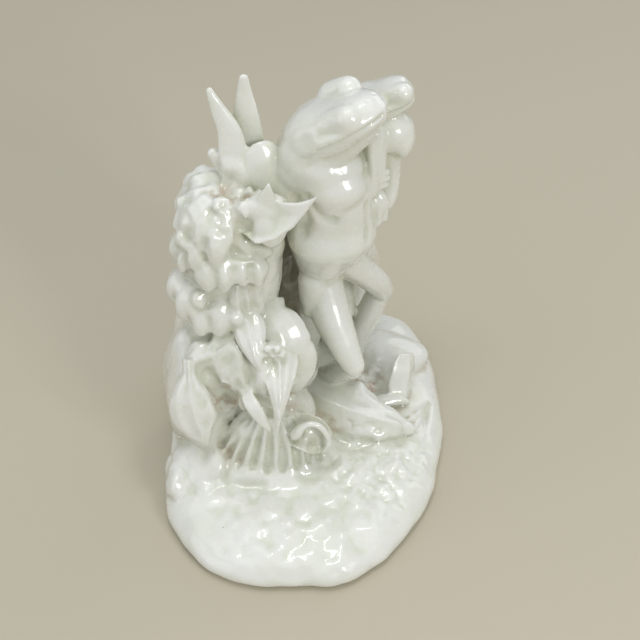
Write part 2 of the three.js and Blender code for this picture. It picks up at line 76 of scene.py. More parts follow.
def stood(name, data):  # a new object
    thing = bpy.data.objects.new(name, data)
    bpy.context.scene.collection.objects.link(thing)
    return thing


# puts a thing at a place and turns its view axis, -Z, to the target
def aim(thing, away, target):
    thing.location = away
    thing.rotation_euler = (target - away).to_track_quat("-Z", "Y").to_euler()


# the camera stands on a circle round the target, at the tilt above level and straight in front
def makeCamera():
    tilt = math.radians(look["tilt"])
    target = Vector(look["target"]) * unit
    back = Vector((0, -math.cos(tilt), math.sin(tilt)))
    camera = stood("photoCamera", bpy.data.cameras.new("photoCamera"))
    camera.data.lens = look["lens"]
    camera.data.sensor_width = look["sensor"]
    camera.data.clip_start, camera.data.clip_end = look["sees"]
    aim(camera, target + back * look["away"] * unit, target)
    bpy.context.scene.camera = camera


# each lamp stands its distance from the target in its direction
def makeLamps():
    target = Vector(look["lampTarget"]) * unit
    for name, way, away, wide, high, watts, tone in lamps:
        light = bpy.data.lights.new(name, "AREA")
        light.shape = "RECTANGLE"
        light.size, light.size_y = wide * unit, high * unit
        light.energy, light.color = watts, tone
        aim(stood(name, light), target + Vector(way).normalized() * away * unit, target)
    world = bpy.data.worlds.new("studioAir")
    world.use_nodes = True
    air = world.node_tree.nodes["Background"]
    air.inputs["Color"].default_value = (*look["skyTone"], 1)
    air.inputs["Strength"].default_value = look["skyPower"]
    bpy.context.scene.world = world
    bpy.context.scene.view_settings.view_transform = "Standard"


makeCamera()
makeLamps()
print("camera and lights stand")


# a smooth curve through rows, at u counted in rows: each stretch is a cubic that leaves and meets its rows
# along the chord between their neighbours
def through(rows, u):
    rows = np.asarray(rows, float)
    u = np.atleast_1d(u).astype(float)
    wide = np.vstack([2 * rows[0] - rows[1], rows, 2 * rows[-1] - rows[-2]])
    i = np.clip(np.floor(u).astype(int), 0, len(rows) - 2)
    t = (u - i)[:, None]
    a, b, c, d = (wide[i + k] for k in range(4))
    leave, meet = 0.5 * (c - a), 0.5 * (d - b)
    return b + leave * t + (3 * (c - b) - 2 * leave - meet) * t ** 2 + (leave + meet - 2 * (c - b)) * t ** 3


def steps(rows, per):  # so many even steps from each row to the next
    return np.linspace(0, len(rows) - 1, (len(rows) - 1) * per + 1)


def circle(count):  # even angles
    return np.linspace(0, 2 * np.pi, count, endpoint=False)


def wave(x):  # 0 to 1 along half a cosine
    return 0.5 - 0.5 * np.cos(np.pi * np.clip(x, 0, 1))


def unitRows(rows):  # each row over its own length
    return rows / np.maximum(np.linalg.norm(rows, axis=-1, keepdims=True), 1e-9)


def squareTo(way, along):  # the part of a direction that is square to each row, at unit length
    way = np.broadcast_to(np.asarray(way, float), along.shape)
    return unitRows(way - np.sum(way * along, axis=-1, keepdims=True) * along)


# a closed skin: rings joined by two triangles a cell and a fan to a tip at each end, turned to face outwards
def closedSkin(rings, tipA, tipB):
    n, m = rings.shape[:2]
    spots = np.vstack([rings.reshape(-1, 3), [tipA], [tipB]])
    here = np.arange(n * m).reshape(n, m)
    beside = np.roll(here, -1, axis=1)
    cells = np.stack([here[:-1], beside[:-1], here[1:], beside[:-1], beside[1:], here[1:]], -1)
    first = np.stack([np.full(m, n * m), beside[0], here[0]], -1)
    last = np.stack([np.full(m, n * m + 1), here[-1], beside[-1]], -1)
    faces = np.vstack([cells.reshape(-1, 3), first, last])
    a, b, c = spots[faces.T]
    if np.sum(a * np.cross(b, c)) < 0:
        faces = faces[:, ::-1]
    return spots, faces


# a tube round a smooth path through x, y, z, radius and, where given, flatness; three rings dome each end
def limb(rows, side=(0.2, -0.3, 0.93), around=28, per=8):
    rows = np.array([list(r) + [1.0] * (5 - len(r)) for r in rows], float)
    u = steps(rows, per)
    at = through(rows, u)
    step = 0.05
    ahead = through(rows, np.minimum(u + step, len(rows) - 1))
    behind = through(rows, np.maximum(u - step, 0))
    along = unitRows(ahead[:, :3] - behind[:, :3])
    dome = np.radians([72, 48, 24])
    index = np.r_[[0] * len(dome), np.arange(len(u)), [-1] * len(dome)]
    push = np.r_[-np.sin(dome), np.zeros(len(u)), np.sin(dome[::-1])]
    shrink = np.r_[np.cos(dome), np.ones(len(u)), np.cos(dome[::-1])]
    at, along = at[index], along[index]
    across = squareTo(side, along)
    other = np.cross(along, across)
    turn = circle(around)
    radius = at[:, 3] * shrink
    middle = at[:, :3] + along * (push * at[:, 3])[:, None]
    rings = (middle[:, None] + across[:, None] * (np.cos(turn) * (radius * at[:, 4])[:, None])[..., None]
             + other[:, None] * (np.sin(turn) * radius[:, None])[..., None])
    tipA, tipB = at[0, :3] - along[0] * at[0, 3], at[-1, :3] + along[-1] * at[-1, 3]
    return closedSkin(rings, tipA, tipB)


# a blade along a curve from foot over bend to tip: t runs along it and the turn round its section; across it
# lies the half breadth, and the lift sums its body, cup, midrib, side veins, sharp pleats and waving edge
def leaf(foot, bend, tip, face, wide, thick=1.8, cup=0.0, rib=0.0, most=0.45, blunt=0.9, stem=0.5,
         veins=0, veinRise=0.0, pleats=0, pleatRise=0.0, wavy=0.0, waves=3.0, ragged=0.0, phase=0.0,
         twist=0.0, per=64, around=56):
    lastRing, step, leastHalf, thinning, otherEdge = 0.985, 0.02, 0.25, 0.5, 1.7
    foot, tip = np.array(foot, float), np.array(tip, float)
    middle = (foot + tip) / 2 if bend is None else np.array(bend, float)

    def spine(t):
        t = t[:, None]
        return foot * (1 - t) ** 2 + 2 * middle * t * (1 - t) + tip * t ** 2
    t = np.linspace(0, lastRing, per)
    along = unitRows(spine(np.minimum(t + step, 1)) - spine(np.maximum(t - step, 0)))
    up = squareTo(face, along)
    across = np.cross(along, up)
    lean = (twist * t)[:, None]
    up, across = up * np.cos(lean) + across * np.sin(lean), across * np.cos(lean) - up * np.sin(lean)
    swell = np.sin(np.pi * np.clip(t, 1e-6, 1) ** (math.log(0.5) / math.log(most))) ** blunt
    half = (wide / 2) * np.maximum(stem * (1 - t) ** 1.5, swell) + leastHalf
    turn = circle(around)
    s, h = np.cos(turn), np.sin(turn)
    tt, ss = t[:, None], s[None]
    hand = np.where(ss > 0, 0.0, otherEdge)  # so that the two edges differ
    edge = 1 + ragged * (np.sin(19 * tt + phase + hand) + np.sin(37 * tt + 2 * phase + 2 * hand)) / 2
    body = (thick / 2) * (1 - thinning * t ** 3)[:, None] * np.sign(h) * np.abs(h) ** 0.75
    fade = np.minimum(1, 4 * (1 - tt))
    lift = body + half[:, None] * cup * ss ** 2 + rib * (1 - np.abs(ss)) ** 1.5 * fade
    lift = lift + wavy * half[:, None] * np.abs(ss) ** 3 * np.sin(2 * np.pi * waves * tt + phase + hand)
    if veins:
        slant = tt - 0.3 * np.abs(ss)
        lift = lift + veinRise * np.cos(2 * np.pi * veins * slant) * np.abs(ss) ** 0.5 * fade
    if pleats:
        lift = lift + pleatRise * (1 - np.abs(np.sin(0.5 * np.pi * pleats * ss))) * fade
    rings = (spine(t)[:, None] + across[:, None] * (half[:, None] * edge * ss)[..., None]
             + up[:, None] * lift[..., None])
    return closedSkin(rings, foot, tip)


# an ellipsoid in longitude a and latitude b whose radius swells by sums of sines, turned about Z. Rows give
# middle, half sizes, lump, shift, fine and turn
def boulder(at, size, lump=0.06, shift=0.0, fine=0.0, turn=0.0, swells=3, around=64, rows=40):
    a = circle(around)[None]
    b = np.linspace(-np.pi / 2, np.pi / 2, rows + 1)[1:-1, None]
    even = np.minimum(1, 2 * np.cos(b))  # the swells fade towards the poles
    broad = np.sin(swells * a + 2 * b + shift) + 0.6 * np.sin((swells + 2) * a - 3 * b + 2 * shift)
    r = 1 + lump * even * broad
    r = r + fine * np.cos(b) * (np.sin(7 * a + 3 * b + shift) + np.sin(11 * a - 7 * b + 3 * shift))
    x, y = size[0] * r * np.cos(a) * np.cos(b), size[1] * r * np.sin(a) * np.cos(b)
    z = size[2] * r * np.sin(b)
    c, s = math.cos(turn), math.sin(turn)
    rings = np.stack([c * x - s * y, s * x + c * y, z], -1) + np.array(at, float)
    pole = np.array([0, 0, size[2]], float)
    return closedSkin(rings, np.array(at) - pole, np.array(at) + pole)


# a body stacked in level ovals through rows of x, y, z and two half widths
def stack(rows, around=72, per=10, tip=0.5):
    at = through(rows, steps(rows, per))
    turn = circle(around)
    rings = np.stack([
        at[:, :1] + at[:, 3:4] * np.cos(turn), at[:, 1:2] + at[:, 4:5] * np.sin(turn),
        np.repeat(at[:, 2:3], around, 1)], -1)
    rise = np.array([0, 0, tip])
    return closedSkin(rings, at[0, :3] - rise * at[0, 3], at[-1, :3] + rise * at[-1, 3])


# random values on a cubic lattice that repeats after its side, blended between its corners; from -1 to 1
def softNoise(spots, size, seed):
    side, far = 48, 960  # far is a whole number of sides and keeps every index above zero
    table = np.random.default_rng(seed).uniform(-1, 1, (side, side, side))
    q = spots / size + far
    low = np.floor(q).astype(int)
    f = q - low
    f = f * f * (3 - 2 * f)
    out = np.zeros(len(spots))
    for corner in np.ndindex(2, 2, 2):
        share = np.prod(np.where(corner, f, 1 - f), axis=1)
        i = (low + corner) % side
        out += share * table[i[:, 0], i[:, 1], i[:, 2]]
    return out


# the mound: how square its outline is in front and how much more behind and at the left, its lean left in
# front and right behind, ripples as count, start and height, and its side as scale and height
mound = {
    "halfX": 53.0, "halfY": 70.0, "midY": -2.0, "rise": 17.0, "backRise": 2.5,
    "power": 2.35, "backPower": 1.7, "leftPower": 0.4, "leftBehind": 0.3, "lean": (4, 3),
    "ripples": [(9, 0, 0.006), (14, 1, 0.005), (31, 0, 0.002)],
    "side": [[0.95, 0], [0.968, 0.25], [0.985, 1.2], [1, 3.2], [0.985, 6], [0.93, 9], [0.84, 11.5],
             [0.68, 14], [0.45, 15.8], [0.2, 16.8]],
}


# cosine and sine, to a power that changes with the angle, add up to 1 on the outline; the side scales it
def moundShape(around=240, rows=73):
    v = mound
    turn = circle(around)
    c, s = np.cos(turn), np.sin(turn)
    right = v["leftPower"] * c * np.where(s < 0, 1, v["leftBehind"])
    power = v["power"] + v["backPower"] * np.maximum(0, s) - right
    r = (np.abs(c) ** power + np.abs(s) ** power) ** (-1 / power)
    ripple = 1 + sum(height * np.sin(count * turn + start) for count, start, height in v["ripples"])
    x = v["halfX"] * r * c * ripple + np.where(s < 0, v["lean"][0], v["lean"][1]) * s
    y = v["halfY"] * r * s * ripple
    p = through(v["side"], np.linspace(0, len(v["side"]) - 1, rows))
    back = v["backRise"] * wave((s + 0.1) * 1.4)[None] * wave((p[:, 1:] - 3) / 6)
    rings = np.stack([x[None] * p[:, :1], v["midY"] + y[None] * p[:, :1], p[:, 1:] + back], -1)
    return closedSkin(rings, np.array([0, v["midY"], 0]), np.array([0, v["midY"], v["rise"] + 1]))


# the rock with two knobs at its left foot, a low rise behind the frogs and a two-part stump in the slit
rock = {
    "boulders": [
        [(-38.5, -2, 33), (16, 22, 33), 0.06, 0.4, 0.008],
        [(-24, 11, 34), (17, 24, 33), 0.06, 1.7, 0.01],
        [(-10, -7, 53), (14, 12.5, 19), 0.08, 2.6, 0.012],
        [(-13, -10, 25), (15, 16, 20), 0.06, 0.9, 0.01],
        [(-32, 26, 26), (20, 25, 33), 0.06, 3.3, 0.01],
        [(-46, -26, 9), (8, 12, 9), 0.06, 0.7, 0.02],
        [(-35, -33, 10), (8, 6, 5.5), 0.06, 0.2, 0.02],
        [(-13.5, -19, 21), (17.5, 11.5, 17.5), 0.04, 2, 0.01],
        [(-31, -9, 46), (13, 12, 22), 0.06, 1.1, 0.01],
        [(-14, -16, 13), (26, 20, 11), 0.04, 0.3, 0.01],
        [(-36, -13, 52), (9, 8, 15), 0.05, 1.3, 0.02],
        [(-25, -16, 56), (9, 8, 14), 0.05, 2.3, 0.02],
        [(-13, -17, 55), (9, 10, 14), 0.05, 0.3, 0.02],
        [(-36, -20, 12), (15, 15, 12), 0.05, 2.2, 0.01],
        [(31, 33, 13), (18, 14, 8), 0.03, 0.5],
        [(-9, 33, 28), (13, 14, 34), 0.07, 1.2, 0.015],
        [(-7.5, 32, 70), (10.5, 12, 30), 0.07, 2.6, 0.015],
    ],
    # pleats over the front foot: half the fan in degrees, swing of the feet, droop of the outer tops, and
    # grooves: further out, width, depth
    "pleats": {"count": 10, "mid": (-13, -17.5), "reach": (19, 12.5), "top": 37, "bottom": 10, "fan": 70,
               "radius": 2.1, "swing": 3, "droop": 2, "groove": (1.2, 1.1, 1.5)},
}


# a pleat runs down at its angle; its reach grows as a quarter sine, then stays, and it swings left with the
# square of the way down
def pleatPath(i, further=0):
    v = rock["pleats"]
    s = np.linspace(0, 1, 6)
    share = 2 * i / (v["count"] - 1) - 1
    a = np.radians(share * v["fan"])
    grown = 0.5 + 0.5 * np.sin(np.minimum(1.6 * s, 1) * np.pi / 2)
    x = v["mid"][0] + (v["reach"][0] + further) * math.sin(a) * grown - v["swing"] * s ** 2 * (1 - share)
    y = v["mid"][1] - (v["reach"][1] + further) * math.cos(a) * grown
    z = v["top"] + (v["bottom"] - v["top"]) * s - v["droop"] * (1 - math.cos(a))
    radius = v["radius"] * (0.8 + 0.2 * s) * (0.9 + 0.1 * math.sin(5 * i))
    return np.stack([x, y, z, radius], -1)


def pleatGrooves():  # halfway between two pleats and a little further out
    further, width, depth = rock["pleats"]["groove"]
    return [(pleatPath(i + 0.5, further)[:, :3], width, depth) for i in range(rock["pleats"]["count"] - 1)]


def rockShapes():  # the boulders, and a limb along each pleat
    shapes = [boulder(*row) for row in rock["boulders"]]
    return shapes + [limb(pleatPath(i)) for i in range(rock["pleats"]["count"])]


# the column: a core, petals hanging round it, folds between them and a lumpy crown
column = {
    "mid": (-27, 5), "foot": 50, "top": 118,
    # shift in X and Y, share of the height, half widths
    "core": [[-1, 0, 0, 17, 16.4], [-0.6, 0, 0.3, 17.5, 16.4], [1, 0, 0.6, 18, 16],
             [0.6, 0, 0.85, 15.6, 13.4], [-2, 1, 1, 10, 9]],
    # all petals: their form, and the share of the reach at foot, bend and tip
    "petal": dict(thick=3.4, cup=-0.34, most=0.66, blunt=0.5, stem=0.8, pleats=2, pleatRise=0.45, wavy=0.05,
                  waves=2, ragged=0.04),
    "out": (0.5, 1.06, 0.96), "bendAt": 0.8, "facing": 0.35,
    # the petals in front, tier by tier: angle in degrees, height of the tip, breadth, reach, length
    "front": [
        [[-156, 96, 10.5, 20, 12], [-140, 94.5, 9, 20, 11], [-125, 98, 9, 19.5, 12]],
        [[-107, 91.5, 10, 20.6, 13], [-90, 92.5, 9, 21.2, 13], [-72, 93, 9, 20, 12], [-55, 91, 9, 20.6, 13]],
        [[-158, 78, 12, 22.5, 13], [-140, 74, 13, 22.5, 15], [-120, 69.5, 12.5, 21.4, 14],
         [-98, 71, 10.5, 21, 15]],
        [[-78, 79, 5, 18.6, 14], [-67, 80, 5, 18.4, 14], [-56, 81, 5, 17.8, 14]],
        [[-99, 101, 7.6, 19.5, 17], [-118, 107, 9, 17.8, 12]],
    ],
    # grooves between neighbours: shares of the reach and heights over the tips, width, depth
    "groove": [(0.95, 8), (1.02, 4), (0.96, -1)], "grooveWide": 1.5, "grooveDeep": 0.9,
    # plainer leaves on the hidden side
    "rear": {"heights": [66, 83, 99], "angles": (158, 176), "apart": 44, "wide": 20, "reach": 19,
             "long": 18},
    "folds": [
        [[-27, -7, 113, 1.8], [-21.5, -8.6, 106, 2.1], [-16, -7, 99, 1.9]],
        [[-23.5, -6.4, 114, 1.7], [-18.4, -7.4, 107.5, 2], [-13, -4.6, 101, 1.9]],
        [[-29, -8.6, 108, 1.9], [-25, -10, 102, 1.7], [-21, -9.4, 98, 1.6]],
        [[-31, -9.5, 105, 1.6], [-27, -12.5, 102.6, 1.3], [-21, -12, 102.8, 1.1], [-17.5, -11, 102, 1.2]],
        [[-21, -9, 92, 1.8], [-19, -10.5, 76, 2]], [[-17.5, -7, 92, 1.8], [-16, -8.5, 74, 2]],
        [[-15, 4, 113, 5], [-14, 4, 98, 6.6], [-17, 4, 80, 6]],
    ],
    # the last three fill gaps between the petals
    "crown": [
        [(-29, 3, 112), (15.5, 13, 12), 0.07, 0.6, 0.02],
        [(-23, -4, 116), (8, 6.5, 6.5), 0.1, 2.1, 0.03],
        [(-36, -3, 112), (6.5, 5.5, 6), 0.1, 1.2, 0.03],
        [(-30, -7, 112), (5.5, 4.5, 7), 0.1, 3.1, 0.03],
        [(-33, 9, 118), (8, 8, 6.5), 0.1, 0.2, 0.03],
        [(-12.5, -6, 119), (8, 4.5, 8), 0.05, 0.2],
        [(-40, -5, 107.5), (4.2, 4, 4.6), 0.14, 0.9, 0.05],
        [(-35, -9, 105), (3.6, 3.2, 5), 0.14, 2.4, 0.05],
        [(-25.5, -9.5, 110), (3.4, 3, 7), 0.12, 1.9, 0.04, 0.4],
        [(-38, 2, 116), (4.6, 4.6, 4), 0.14, 2.9, 0.05],
        [(-27, -4, 120.5), (4, 4, 3), 0.16, 0.4, 0.06],
        [(-19, -7, 121), (3.2, 3, 3.4), 0.14, 1.4, 0.05],
        [(-36.7, -10.5, 84.6), (3.4, 3, 3.6), 0.08],
        [(-23.9, -13.5, 79), (3.4, 3, 3.6), 0.08],
        [(-41, -8.5, 77.7), (3.2, 3, 3.4), 0.08],
    ],
}


def outFrom(a, r, z):  # a point at angle a and radius r round the column's middle
    return [column["mid"][0] + r * math.cos(a), column["mid"][1] + r * math.sin(a), z]


# bends out from inside the core over its reach and hangs down to its tip
def hangingLeaf(degrees, low, wide, reach, long, phase):
    a = math.radians(degrees)
    foot, bend, tip = (reach * share for share in column["out"])  # how far out each lies
    face = [math.cos(a), math.sin(a), column["facing"]]
    return leaf(outFrom(a, foot, low + long), outFrom(a, bend, low + long * column["bendAt"]),
                outFrom(a, tip, low), face, wide, phase=phase, **column["petal"])


def petalGrooves():  # down the circle that two neighbouring petals reach, halfway between them
    grooves = []
    for tier in column["front"]:
        for one, two in zip(tier, tier[1:]):
            degrees, low, _, reach, _ = ((p + q) / 2 for p, q in zip(one, two))
            path = [outFrom(math.radians(degrees), r * reach, low + h) for r, h in column["groove"]]
            grooves.append((path, column["grooveWide"], column["grooveDeep"]))
    return grooves


# a stacked core; the rear leaves step round it, each tier a little shorter and nearer
def columnShapes():
    x, y = column["mid"]
    low, rise = column["foot"], column["top"] - column["foot"]
    core = [[x + dx, y + dy, low + share * rise, wide, deep] for dx, dy, share, wide, deep in column["core"]]
    shapes = [stack(core)]
    for tier in column["front"]:
        shapes += [hangingLeaf(*row, phase=1.9 * i) for i, row in enumerate(tier)]
    v = column["rear"]
    for tier, height in enumerate(v["heights"]):
        for i in range(3):
            degrees, tip = v["angles"][tier % 2] - v["apart"] * i, height + 2 * math.sin(3 * i + tier)
            shapes.append(hangingLeaf(degrees, tip, v["wide"], v["reach"] - tier, v["long"] - 2 * tier, i))
    shapes += [limb(rows) for rows in column["folds"]]
    shapes += [boulder(*row) for row in column["crown"]]
    return shapes


# two reeds and a stub; then a domed leaf, a spiked cup, its middle point, a fold under it and a side leaf
reeds = [
    [[-22.5, 4, 121, 2, 2.8], [-23, 5, 127, 1.9, 2.9], [-23.5, 7.3, 134, 1.7, 3],
     [-24.6, 8.6, 141, 1.5, 2.7], [-27.7, 10, 148, 1.3, 2.1], [-29.6, 11, 152.5, 1.15, 1.5],
     [-30.4, 11.7, 154.6, 1, 1.2]],
    [[-18, 9, 121, 2, 2.6], [-18.4, 10.5, 128, 1.9, 2.8], [-18.6, 12, 136, 1.7, 3],
     [-19.2, 13, 145, 1.5, 2.8], [-19.4, 13.7, 152, 1.3, 2.2], [-19.4, 14, 157.9, 1.1, 1.5]],
    [[-24.5, 6, 122, 2.4, 1.2], [-28.5, 7.5, 129, 1.9, 1.3], [-30.5, 8.5, 132.5, 1.7, 1.2]],
]
crownLeaves = [
    leaf([-13.5, 7, 112], [-11.5, 2, 125], [-15, 8, 137.5], [0.2, -1, 0.5], 14, thick=3, cup=-0.3, rib=0.4,
         most=0.62, blunt=0.42, stem=0.8, veins=3, veinRise=0.1),
    leaf([-22, -1, 117], [-10, -10, 114], [4.2, -12, 130], [0.1, -0.8, 0.6], 17, thick=3, cup=0.3, most=0.3,
         blunt=1.3, stem=0.9, ragged=0.05, phase=1),
    leaf([-13, -8, 120], None, [-11.4, -8, 132.4], [0.1, -1, 0.4], 7, thick=2.6, most=0.3, blunt=1.1,
         stem=1),
    leaf([-13.5, -6, 121], [-12, -12, 115], [-10.5, -8, 107], [0.1, -1, 0.3], 13, thick=6, cup=-0.2,
         most=0.5, blunt=0.5, stem=0.9),
    leaf([-33, 0, 117], [-40, -3, 116], [-44, -3, 110], [-0.4, -0.6, 0.7], 9, thick=3.4, cup=-0.2, most=0.5,
         blunt=0.8, stem=0.9, ragged=0.04),
]


# over the rock: a lance leaf on a neck, a bowl, two pointed leaves, a smooth broad one, a stub and a strip
drapedLeaves = [
    leaf([-41, -17, 62], [-42, -28.5, 50.6], [-35.9, -28.5, 29.2], [0, -1, 0.4], 17.5, thick=3.8, cup=-0.12,
         rib=1.4, most=0.58, blunt=1.1, stem=0.32, pleats=3, pleatRise=1.0, wavy=0.06, twist=-0.25),
    leaf([-27, -9, 74], [-30.5, -22, 62.8], [-27, -20, 40.5], [-0.35, -0.85, 0.4], 17, thick=3, cup=0.2,
         most=0.6, blunt=0.6, stem=0.7, pleats=5, pleatRise=0.9, ragged=0.03),
    leaf([-20.5, -9, 78], [-19, -22.6, 74], [-14.6, -24.5, 60.5], [0, -1, 0.4], 11.5, thick=2.6, cup=-0.08,
         rib=1.0, most=0.25, blunt=1.1, stem=0.9, pleats=3, pleatRise=0.9),
    leaf([-10, -14, 64], [-8, -32, 62.5], [-10.6, -36.5, 41.5], [0.1, -1, 0.3], 13.5, thick=2.8, cup=-0.1,
         rib=1.6, most=0.14, blunt=1.25, stem=0.95, pleats=4, pleatRise=1.2, wavy=0.08),
    leaf([-15, -4, 75], [-7, -18, 71], [-3, -16, 50], [0.3, -0.8, 0.5], 20, thick=5, cup=-0.05, most=0.45,
         blunt=0.5, stem=0.8, pleats=3, pleatRise=0.5, ragged=0.02, wavy=0.02, phase=1.3),
    leaf([-22.5, -11, 57], None, [-22.3, -27, 45.5], [0, -1, 0.6], 5, thick=2.6, blunt=0.25, stem=1,
         pleats=3, pleatRise=0.8),
    leaf([-22.5, -19, 53], [-20, -31, 55], [-12.2, -35, 43.5], [-0.3, -0.8, 0.5], 5, thick=3, cup=0.2,
         most=0.5, blunt=0.6, stem=0.9, wavy=0.08),
]
# a bud of round petals; the grooves between them run from one radius to another
bud = {"at": (-11.4, -21.4, 69), "across": 3.1, "petal": 1.7, "petals": 6, "heart": 1.2, "heartBack": 1.5,
       "groove": (1.2, 3.9), "grooveWide": 0.55, "grooveDeep": 0.8}
# ridges over the rock, and last the rolled edge of the leaf at the front foot
folds = [
    [[-41, -18, 60, 1.5], [-34, -17, 64, 1.3], [-27, -16.5, 67.5, 1.1]],
    [[-20.5, -15, 71, 1.4], [-19.5, -19, 63, 1.7], [-22.5, -20, 52, 1.4]],
    [[-24, -16, 62, 4.5], [-22, -17, 54, 5], [-20, -17, 46, 5]],
    [[-4.2, -27.5, 33.6, 2], [-2, -27.8, 36.6, 2.2], [1, -27.5, 39, 1.6], [4.5, -27.5, 38.4, 1.3],
     [7.2, -27.5, 34, 1.2], [8, -27.5, 29.5, 1.2], [6.2, -27.5, 24.5, 1.1]],
]


# on the mound: the long leaf, two narrow ones, the upright blade, a shoot and the front leaf
groundLeaves = [
    leaf([-7, 12, 21], [12, -14, 30], [42, -8, 14.5], [-0.2, -0.5, 0.85], 25, thick=3.0, cup=-0.3, rib=3.0,
         most=0.42, blunt=0.75, pleats=3, pleatRise=1.3, ragged=0.06, wavy=0.1, phase=2),
    leaf([2, 10, 22], [13, 6, 28], [24.5, 1.5, 21], [0, -0.4, 1], 6, thick=2.4, rib=1.2),
    leaf([22, 1, 17], [31, 5, 20.5], [40, 4.5, 16.5], [0, -0.4, 1], 5.5, thick=2.6, rib=0.8),
    leaf([34.5, 5, 11], [36, 12, 20], [39, 18, 31], [0.75, -0.7, 0.3], 13, thick=3.6, rib=2.4, most=0.6,
         blunt=0.18, stem=0.95, wavy=0.05),
    leaf([-2, -4, 18], None, [-1.5, -6, 38], [0.3, -1, 0.2], 5.5, thick=3, blunt=0.6, stem=0.8),
    leaf([-6.5, -17, 26], [-1.5, -26, 37], [7.6, -24, 23.4], [0.2, -0.75, 0.65], 13.5, thick=3, cup=0.5,
         most=0.55, blunt=0.5, ragged=0.03, wavy=0.1, waves=1.5, pleats=2, pleatRise=0.8),
]
pebbles = [[14, 14, 18, 4.5], [19, 17, 16, 4], [23, 12, 16, 3.4], [26, 20, 16, 3.6], [20, 8, 16, 3.2],
           [22, 6, 18, 2.6], [30, 15, 14.5, 2.4], [31, 22, 15, 2.8]]


def budSpot(a, r, forward):  # a point at angle a and radius r round the bud's middle
    x, y, z = bud["at"]
    return [x + r * math.cos(a), y - forward, z + r * math.sin(a)]


def budShapes():  # the heart, and a boulder for each petal on a circle round it
    across, r = bud["across"], bud["petal"]
    heart = bud["heart"] * across
    shapes = [boulder(budSpot(0, 0, -bud["heartBack"]), [heart, 2 * r, heart], lump=0.05)]
    for a in circle(bud["petals"]):
        shapes.append(boulder(budSpot(a, across, 0.3 * math.sin(a)), [r, r, r], lump=0.08, shift=a))
    return shapes


def budGrooves():  # straight out, halfway between two petals
    turns = [2 * math.pi * (i + 0.5) / bud["petals"] for i in range(bud["petals"])]
    return [([budSpot(a, r, bud["petal"]) for r in bud["groove"]], bud["grooveWide"], bud["grooveDeep"])
            for a in turns]


def leafShapes():  # every leaf, limb and pebble above
    shapes = [limb(rows, side=(1, 0.1, 0)) for rows in reeds]
    shapes += crownLeaves + drapedLeaves + groundLeaves + [limb(rows) for rows in folds] + budShapes()
    shapes += [boulder([x, y, z], [r, r, r], lump=0.05, shift=x) for x, y, z, r in pebbles]
    return shapes


# radii of ankle and toe, how far the toes lie below the ankle, and the form of the web
webFoot = {"ankle": 3, "toe": 1.9, "drop": 4,
           "web": dict(thick=3, most=0.75, blunt=0.5, stem=0.3, ragged=0.03)}


# three limbs from the ankle to toes on a circle, turned by the spread, with a leaf as their web
def footShapes(ankle, heading, reach, spread):
    def toe(turn):
        return [ankle[0] + reach * math.cos(heading + turn), ankle[1] + reach * math.sin(heading + turn),
                ankle[2] - webFoot["drop"]]
    top = [*ankle, webFoot["ankle"]]
    shapes = [limb([top, [*toe(turn), webFoot["toe"]]]) for turn in (-spread, 0, spread)]
    shapes.append(leaf(ankle, None, toe(0), [0, 0, 1], 2 * reach * math.sin(spread), **webFoot["web"]))
    return shapes


# a blunt wedge of a head, f running from nape to snout: a rounded box above the mouth line, and a shallower,
# narrower half oval below it, so the lip overhangs the jaw; each eye is a short bar
def headShapes(v, around=96, per=10):
    back, snout = np.array(v["back"], float), np.array(v["snout"], float)
    long = np.linalg.norm(snout - back)
    ahead = (snout - back) / long
    up = squareTo(v["top"], ahead[None])[0]
    across = np.cross(ahead, up)
    stations = np.array(v["stations"], float)
    at = through(stations, np.linspace(0, len(stations) - 1, per * len(stations)))
    turn = circle(around)
    c, h = np.cos(turn)[None], np.sin(turn)[None]
    boxed, napeBehind, tipAhead, tipRise, narrower = 0.8, 0.06, 0.01, 0.5, 0.96
    top = np.abs(h) ** boxed * v["tall"] * at[:, 2:3]
    under = -np.abs(h) * v["deep"] * at[:, 3:4]
    high = np.where(h > 0, top, under)
    inset = np.where(h < -1e-6, 1 - v["ledge"], 1)
    side = np.sign(c) * np.abs(c) ** boxed * at[:, 1:2] * v["broad"] * inset
    rings = (back + ahead * (at[:, :1, None] * long) + across * side[..., None] + up * high[..., None])

    def spot(f, s, t):
        return back + ahead * (f * long) + across * s + up * t
    nape = spot(stations[0, 0] - napeBehind, 0, 0)
    snoutTip = spot(stations[-1, 0] + tipAhead, 0, tipRise)
    shapes = [closedSkin(rings, nape, snoutTip)]
    for f, s, t, r, half in v["eyes"]:
        shapes.append(limb([[*spot(f - half, s, t), r], [*spot(f + half, s, t), narrower * r]]))
    return shapes, spot


# along the head, half breadth, height above the mouth and depth of the jaw, all as shares
skull = [[-0.12, 0.62, 0.6, 0.8], [0, 0.85, 0.88, 1], [0.18, 0.98, 1, 1], [0.38, 1, 0.98, 0.92],
         [0.58, 0.93, 0.9, 0.8], [0.76, 0.8, 0.82, 0.6], [0.9, 0.58, 0.68, 0.42], [0.98, 0.34, 0.5, 0.24],
         [1.02, 0.13, 0.28, 0.1]]
bluntSkull = skull[:5] + [[0.76, 0.82, 0.92, 0.6], [0.9, 0.66, 0.9, 0.5], [0.98, 0.5, 0.84, 0.4],
                          [1.03, 0.3, 0.66, 0.25]]

